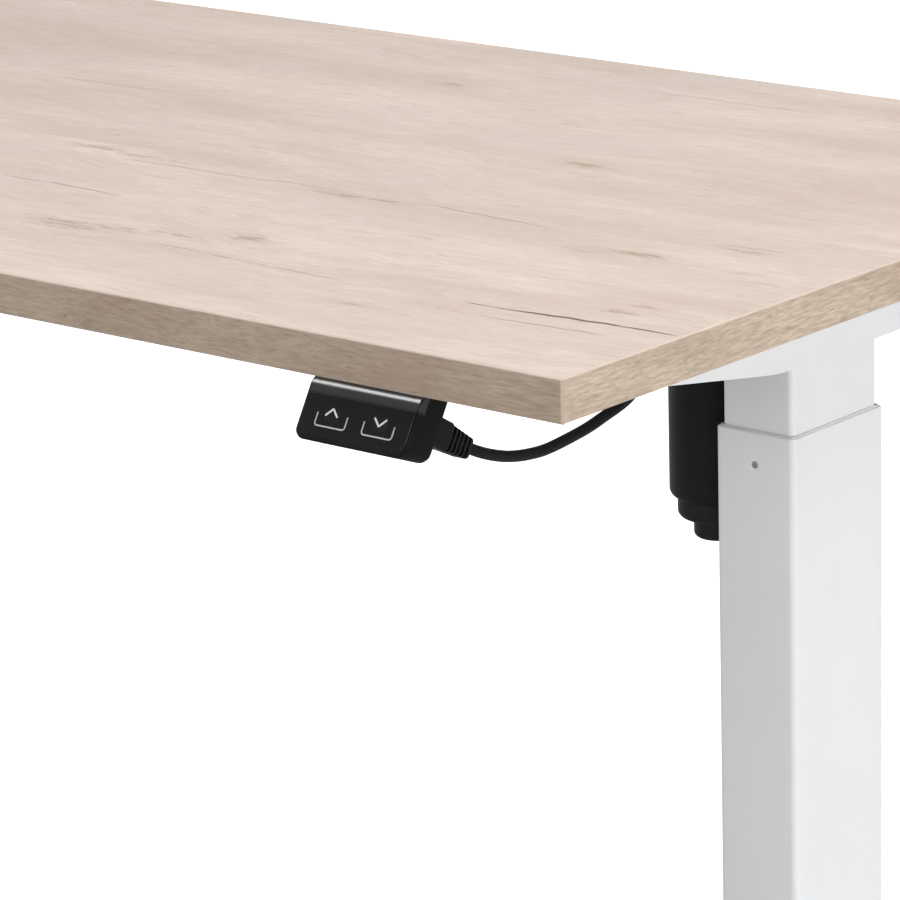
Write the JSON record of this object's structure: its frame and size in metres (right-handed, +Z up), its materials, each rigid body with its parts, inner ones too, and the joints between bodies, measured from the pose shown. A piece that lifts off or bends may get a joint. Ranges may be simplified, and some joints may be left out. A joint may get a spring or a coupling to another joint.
{
  "type": "height adjustable standing desk",
  "caption": "Electric height adjustable standing desk: rectangular oak worktop on two telescopic white columns with feet, motors, crossbeam rails, control box and up/down handset.",
  "frame": {"origin": "middle of the footprint on the floor, at the bottom of the glides", "axes": "+X along the length of the worktop to the right as seen by the user, +Y from the front edge to the back, +Z up; the user sits at -Y"},
  "size_m": [1.2, 0.6017, 0.722],
  "materials": {
    "oak_melamine": "light oak print, fine satin",
    "oak_edge_band": "oak ABS edge band, satin",
    "white_powder_coat": "white powder coat, satin",
    "zinc_steel": "zinc plated",
    "black_gearbox": "black coated casting",
    "motor_black": "black, semi matt",
    "handset_black": "black, glossy",
    "button_black": "black, satin",
    "cable_black": "black PVC",
    "guide_plastic": "light grey acetal",
    "shoe_plastic": "dark grey acetal",
    "box_plastic": "black ABS, fine texture",
    "gear_plastic": "natural nylon",
    "glide_rubber": "black rubber",
    "rivet_grey": "grey nylon"
  },
  "bodies": {
    "left_leg": {"outer_column_left": "white_powder_coat", "collar_liner_left": "guide_plastic", "liner_rivets_left": "rivet_grey", "nut_tube_left": "zinc_steel", "foot_left": "white_powder_coat", "foot_bolts_left": "zinc_steel"},
    "top": {"tabletop_board": "oak_melamine", "edge_band_front": "oak_edge_band", "edge_band_back": "oak_edge_band", "edge_band_left": "oak_edge_band", "edge_band_right": "oak_edge_band", "side_support_left": "white_powder_coat", "side_support_right": "white_powder_coat", "rail_front": "white_powder_coat", "rail_rear": "white_powder_coat", "frame_bolts": "zinc_steel", "board_screws": "zinc_steel", "gearbox_housing_left": "black_gearbox", "gearbox_housing_right": "black_gearbox", "gearbox_screws": "zinc_steel", "column_head_screws": "zinc_steel", "motor_body_left": "motor_black", "motor_body_right": "motor_black", "motor_end_cap_left": "motor_black", "motor_end_cap_right": "motor_black", "inner_column_left": "white_powder_coat", "inner_column_right": "white_powder_coat", "guide_shoes": "shoe_plastic", "spindle_bearings": "zinc_steel", "control_box_shell": "box_plastic", "control_box_cover": "box_plastic", "socket_panel": "box_plastic", "control_box_screws": "zinc_steel", "handset_shell": "handset_black", "handset_face": "handset_black", "handset_screws": "zinc_steel", "handset_plug": "cable_black", "handset_cable": "cable_black", "control_box_plug": "cable_black", "cable_clips": "cable_black"},
    "right_leg": {"outer_column_right": "white_powder_coat", "collar_liner_right": "guide_plastic", "liner_rivets_right": "rivet_grey", "nut_tube_right": "zinc_steel", "foot_right": "white_powder_coat", "foot_bolts_right": "zinc_steel"},
    "spindle_left": {"spindle_left": "zinc_steel", "spindle_gear_left": "gear_plastic"},
    "spindle_right": {"spindle_right": "zinc_steel", "spindle_gear_right": "gear_plastic"},
    "idler_left": {"idler_gear_left": "gear_plastic"},
    "idler_right": {"idler_gear_right": "gear_plastic"},
    "pinion_left": {"motor_pinion_left": "zinc_steel"},
    "pinion_right": {"motor_pinion_right": "zinc_steel"},
    "up_button": {"up_button": "button_black"},
    "down_button": {"down_button": "button_black"},
    "glide_front_left": {"glide_front_left": "glide_rubber"},
    "glide_front_right": {"glide_front_right": "glide_rubber"},
    "glide_rear_left": {"glide_rear_left": "glide_rubber"},
    "glide_rear_right": {"glide_rear_right": "glide_rubber"}
  },
  "joints": [
    {"name": "lift", "type": "slide", "parent": "left_leg", "child": "top", "axis": [0, 0, 1], "range_m": [0, 0.48]},
    {"name": "right_leg_slide", "type": "slide", "parent": "top", "child": "right_leg", "axis": [0, 0, -1], "range_m": [0, 0.48]},
    {"name": "spindle_left_turn", "type": "hinge", "parent": "top", "child": "spindle_left", "pos_m": [-0.5195, 0, 0.68], "axis": [0, 0, 1], "range_deg": [0, 14405]},
    {"name": "idler_left_turn", "type": "hinge", "parent": "top", "child": "idler_left", "pos_m": [-0.48932, 0, 0.68], "axis": [0, 0, 1], "range_deg": [-16005, 0]},
    {"name": "pinion_left_turn", "type": "hinge", "parent": "top", "child": "pinion_left", "pos_m": [-0.4655, 0, 0.68], "axis": [0, 0, 1], "range_deg": [0, 24005]},
    {"name": "spindle_right_turn", "type": "hinge", "parent": "top", "child": "spindle_right", "pos_m": [0.5195, 0, 0.68], "axis": [0, 0, 1], "range_deg": [0, 14405]},
    {"name": "idler_right_turn", "type": "hinge", "parent": "top", "child": "idler_right", "pos_m": [0.48932, 0, 0.68], "axis": [0, 0, 1], "range_deg": [-16005, 0]},
    {"name": "pinion_right_turn", "type": "hinge", "parent": "top", "child": "pinion_right", "pos_m": [0.4655, 0, 0.68], "axis": [0, 0, 1], "range_deg": [0, 24005]},
    {"name": "up_button_press", "type": "slide", "parent": "top", "child": "up_button", "axis": [0, 0.8599, -0.5105], "range_m": [0, 0.0005], "stiffness_N_per_m": 800, "springref_m": -0.0005},
    {"name": "down_button_press", "type": "slide", "parent": "top", "child": "down_button", "axis": [0, 0.8599, -0.5105], "range_m": [0, 0.0005], "stiffness_N_per_m": 800, "springref_m": -0.0005},
    {"name": "glide_front_left_screw", "type": "slide", "parent": "left_leg", "child": "glide_front_left", "axis": [0, 0, -1], "range_m": [0, 0.012]},
    {"name": "glide_front_right_screw", "type": "slide", "parent": "right_leg", "child": "glide_front_right", "axis": [0, 0, -1], "range_m": [0, 0.012]},
    {"name": "glide_rear_left_screw", "type": "slide", "parent": "left_leg", "child": "glide_rear_left", "axis": [0, 0, -1], "range_m": [0, 0.012]},
    {"name": "glide_rear_right_screw", "type": "slide", "parent": "right_leg", "child": "glide_rear_right", "axis": [0, 0, -1], "range_m": [0, 0.012]}
  ],
  "couplings": [
    {"joint": "right_leg_slide", "follows": "lift", "ratio": 1},
    {"joint": "spindle_left_turn", "follows": "lift", "rad_per_m": 523.6},
    {"joint": "idler_left_turn", "follows": "lift", "rad_per_m": -581.78},
    {"joint": "pinion_left_turn", "follows": "lift", "rad_per_m": 872.66},
    {"joint": "spindle_right_turn", "follows": "lift", "rad_per_m": 523.6},
    {"joint": "idler_right_turn", "follows": "lift", "rad_per_m": -581.78},
    {"joint": "pinion_right_turn", "follows": "lift", "rad_per_m": 872.66}
  ]
}
